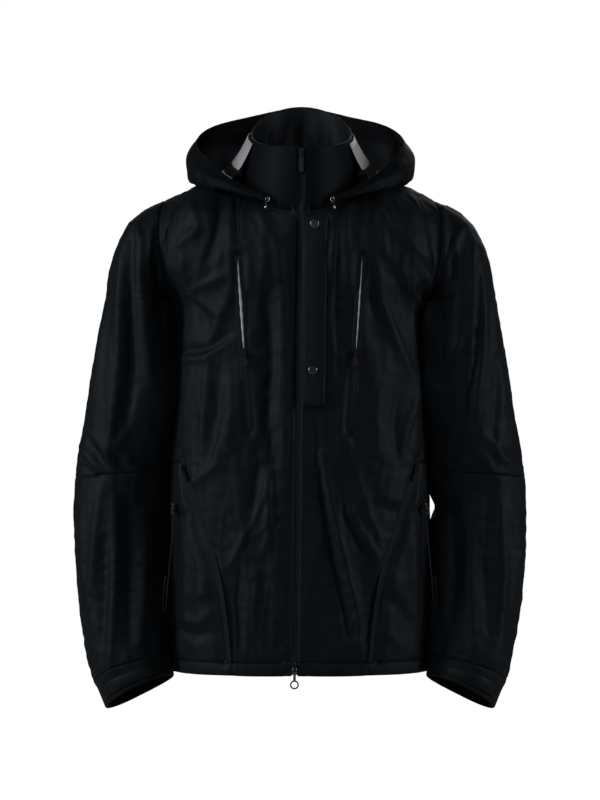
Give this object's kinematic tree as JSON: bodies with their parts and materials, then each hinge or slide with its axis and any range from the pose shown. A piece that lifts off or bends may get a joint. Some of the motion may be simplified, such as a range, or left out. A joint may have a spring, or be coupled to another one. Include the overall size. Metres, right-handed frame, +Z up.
{
  "type": "hooded hardshell jacket",
  "caption": "Waterproof hooded shell jacket with stand collar, two-way front zip, chest and hand pocket zips, snap placket and adjustable cuffs.",
  "frame": {"origin": "middle of the hanger loop's flat front face, inside the back of the collar, where the jacket hangs", "axes": "+X towards the wearer's left, +Y towards the wearer's back, +Z up from hem to collar"},
  "size_m": [0.6802, 0.3847, 0.9246],
  "materials": {
    "shell_fabric": "dull woven face, water repellent",
    "lining_fabric": "dull",
    "hood_lining": "satin light grey and black",
    "pocket_lining": "satin light grey",
    "zip_tape": "coated, slightly glossy",
    "zip_metal": "semi-gloss black",
    "pull_metal": "satin dark grey",
    "snap_metal": "gunmetal with a lighter worn rim",
    "tab_laminate": "matte moulded laminate",
    "cord": "braided, dull",
    "webbing": "woven ribbon",
    "lock_plastic": "fine texture"
  },
  "bodies": {
    "jacket": {"front_zip_tape_right": "zip_tape", "front_zip_tape_left": "zip_tape", "front_panel_left": "shell_fabric", "pocket_panel_left": "shell_fabric", "pocket_zip_left": "zip_tape", "chest_zip_left": "zip_tape", "hand_pocket_bag_left": "lining_fabric", "chest_pocket_bag_left": "pocket_lining", "front_panel_right": "shell_fabric", "pocket_panel_right": "shell_fabric", "pocket_zip_right": "zip_tape", "chest_zip_right": "zip_tape", "hand_pocket_bag_right": "lining_fabric", "chest_pocket_bag_right": "pocket_lining", "back_panel": "shell_fabric", "hem_band": "shell_fabric", "hem_draw_cord": "cord", "collar": "shell_fabric", "collar_lining": "lining_fabric", "hanger_loop": "webbing", "snap_stud_upper": "snap_metal", "snap_stud_lower": "snap_metal", "sleeve_head_left": "shell_fabric", "sleeve_head_right": "shell_fabric", "hood_base": "hood_lining", "waist_lock_left_barrel": "lock_plastic", "waist_cord_left": "cord", "waist_lock_right_barrel": "lock_plastic", "waist_cord_right": "cord"},
    "hood": {"hood_side_left": "shell_fabric", "hood_side_right": "shell_fabric", "hood_centre_panel": "shell_fabric", "hood_brim": "shell_fabric", "hood_draw_cord": "cord"},
    "front_zip_top_slider": {"front_zip_top_slider": "zip_metal"},
    "front_zip_top_pull": {"front_zip_top_pull": "pull_metal"},
    "front_zip_bottom_slider": {"front_zip_bottom_slider": "zip_metal"},
    "front_zip_bottom_pull": {"front_zip_bottom_pull": "pull_metal"},
    "chest_zip_left_slider": {"chest_left_slider": "zip_metal"},
    "chest_zip_left_pull": {"chest_left_pull": "pull_metal"},
    "pocket_zip_left_slider": {"pocket_left_slider": "zip_metal"},
    "pocket_zip_left_pull": {"pocket_left_pull": "pull_metal"},
    "chest_zip_right_slider": {"chest_right_slider": "zip_metal"},
    "chest_zip_right_pull": {"chest_right_pull": "pull_metal"},
    "pocket_zip_right_slider": {"pocket_right_slider": "zip_metal"},
    "pocket_zip_right_pull": {"pocket_right_pull": "pull_metal"},
    "placket_flap": {"placket_flap": "shell_fabric", "snap_cap_upper": "snap_metal", "snap_cap_lower": "snap_metal"},
    "upper_sleeve_left": {"upper_sleeve_left": "shell_fabric"},
    "forearm_left": {"forearm_sleeve_left": "shell_fabric", "cuff_left": "shell_fabric"},
    "cuff_tab_left": {"cuff_tab_left": "tab_laminate"},
    "waist_lock_button_left": {"waist_lock_left_button": "lock_plastic"},
    "upper_sleeve_right": {"upper_sleeve_right": "shell_fabric"},
    "forearm_right": {"forearm_sleeve_right": "shell_fabric", "cuff_right": "shell_fabric"},
    "cuff_tab_right": {"cuff_tab_right": "tab_laminate"},
    "waist_lock_button_right": {"waist_lock_right_button": "lock_plastic"}
  },
  "joints": [
    {"name": "hood_raise", "type": "hinge", "parent": "jacket", "child": "hood", "pos_m": [0, -0.1232, -0.052], "axis": [1, 0, 0], "range_deg": [0, 50]},
    {"name": "front_zip_top_slide", "type": "slide", "parent": "jacket", "child": "front_zip_top_slider", "axis": [0.0129, 0.0515, 0.9986], "range_m": [-0.705, 0]},
    {"name": "front_zip_top_pull_lift", "type": "hinge", "parent": "front_zip_top_slider", "child": "front_zip_top_pull", "pos_m": [0.00189, -0.16226, 0.00525], "axis": [-0.9999, 0, 0.0129], "range_deg": [0, 165]},
    {"name": "front_zip_bottom_slide", "type": "slide", "parent": "jacket", "child": "front_zip_bottom_slider", "axis": [0.0129, 0.0515, 0.9986], "range_m": [0, 0.69]},
    {"name": "front_zip_bottom_pull_lift", "type": "hinge", "parent": "front_zip_bottom_slider", "child": "front_zip_bottom_pull", "pos_m": [-0.00788, -0.20133, -0.75278], "axis": [-0.9999, 0, 0.0129], "range_deg": [0, 165]},
    {"name": "chest_zip_left_slide", "type": "slide", "parent": "jacket", "child": "chest_zip_left_slider", "axis": [0.0667, 0.032, 0.9973], "range_m": [-0.095, 0.128]},
    {"name": "chest_zip_left_pull_lift", "type": "hinge", "parent": "chest_zip_left_slider", "child": "chest_zip_left_pull", "pos_m": [0.08249, -0.17153, -0.29016], "axis": [-0.9978, 0, 0.0668], "range_deg": [0, 165]},
    {"name": "pocket_zip_left_slide", "type": "slide", "parent": "jacket", "child": "pocket_zip_left_slider", "axis": [0.2875, 0.2828, 0.9151], "range_m": [-0.118, 0]},
    {"name": "pocket_zip_left_pull_lift", "type": "hinge", "parent": "pocket_zip_left_slider", "child": "pocket_zip_left_pull", "pos_m": [0.17454, -0.12357, -0.46141], "axis": [-0.4717, -0.7897, 0.3922], "range_deg": [0, 165]},
    {"name": "chest_zip_right_slide", "type": "slide", "parent": "jacket", "child": "chest_zip_right_slider", "axis": [-0.0667, 0.0351, 0.9972], "range_m": [-0.095, 0.128]},
    {"name": "chest_zip_right_pull_lift", "type": "hinge", "parent": "chest_zip_right_slider", "child": "chest_zip_right_pull", "pos_m": [-0.08249, -0.17197, -0.29016], "axis": [-0.9978, 0, -0.0668], "range_deg": [0, 165]},
    {"name": "pocket_zip_right_slide", "type": "slide", "parent": "jacket", "child": "pocket_zip_right_slider", "axis": [-0.2869, 0.2883, 0.9135], "range_m": [-0.118, 0]},
    {"name": "pocket_zip_right_pull_lift", "type": "hinge", "parent": "pocket_zip_right_slider", "child": "pocket_zip_right_pull", "pos_m": [-0.17454, -0.12473, -0.46137], "axis": [-0.4765, 0.7843, -0.3972], "range_deg": [0, 165]},
    {"name": "placket_flap_open", "type": "hinge", "parent": "jacket", "child": "placket_flap", "pos_m": [0.04054, -0.16842, -0.09924], "axis": [0.0129, 0.0515, 0.9986], "range_deg": [0, 110]},
    {"name": "shoulder_raise_left", "type": "hinge", "parent": "jacket", "child": "upper_sleeve_left", "pos_m": [0.295, -0.0482, -0.213], "axis": [0, -1, 0], "range_deg": [0, 50]},
    {"name": "elbow_bend_left", "type": "hinge", "parent": "upper_sleeve_left", "child": "forearm_left", "pos_m": [0.271, -0.1142, -0.468], "axis": [-1, 0, 0], "range_deg": [0, 60]},
    {"name": "cuff_tab_peel_left", "type": "hinge", "parent": "forearm_left", "child": "cuff_tab_left", "pos_m": [0.29265, -0.12936, -0.7933], "axis": [0.3913, 0.2, 0.8983], "range_deg": [0, 60]},
    {"name": "waist_lock_press_left", "type": "slide", "parent": "jacket", "child": "waist_lock_button_left", "axis": [0, 0, -1], "range_m": [0, 0.002], "stiffness_N_per_m": 150},
    {"name": "shoulder_raise_right", "type": "hinge", "parent": "jacket", "child": "upper_sleeve_right", "pos_m": [-0.295, -0.0482, -0.213], "axis": [0, 1, 0], "range_deg": [0, 50]},
    {"name": "elbow_bend_right", "type": "hinge", "parent": "upper_sleeve_right", "child": "forearm_right", "pos_m": [-0.271, -0.1142, -0.468], "axis": [-1, 0, 0], "range_deg": [0, 60]},
    {"name": "cuff_tab_peel_right", "type": "hinge", "parent": "forearm_right", "child": "cuff_tab_right", "pos_m": [-0.29265, -0.12936, -0.7933], "axis": [0.3913, -0.2, -0.8983], "range_deg": [0, 60]},
    {"name": "waist_lock_press_right", "type": "slide", "parent": "jacket", "child": "waist_lock_button_right", "axis": [0, 0, -1], "range_m": [0, 0.002], "stiffness_N_per_m": 150}
  ]
}
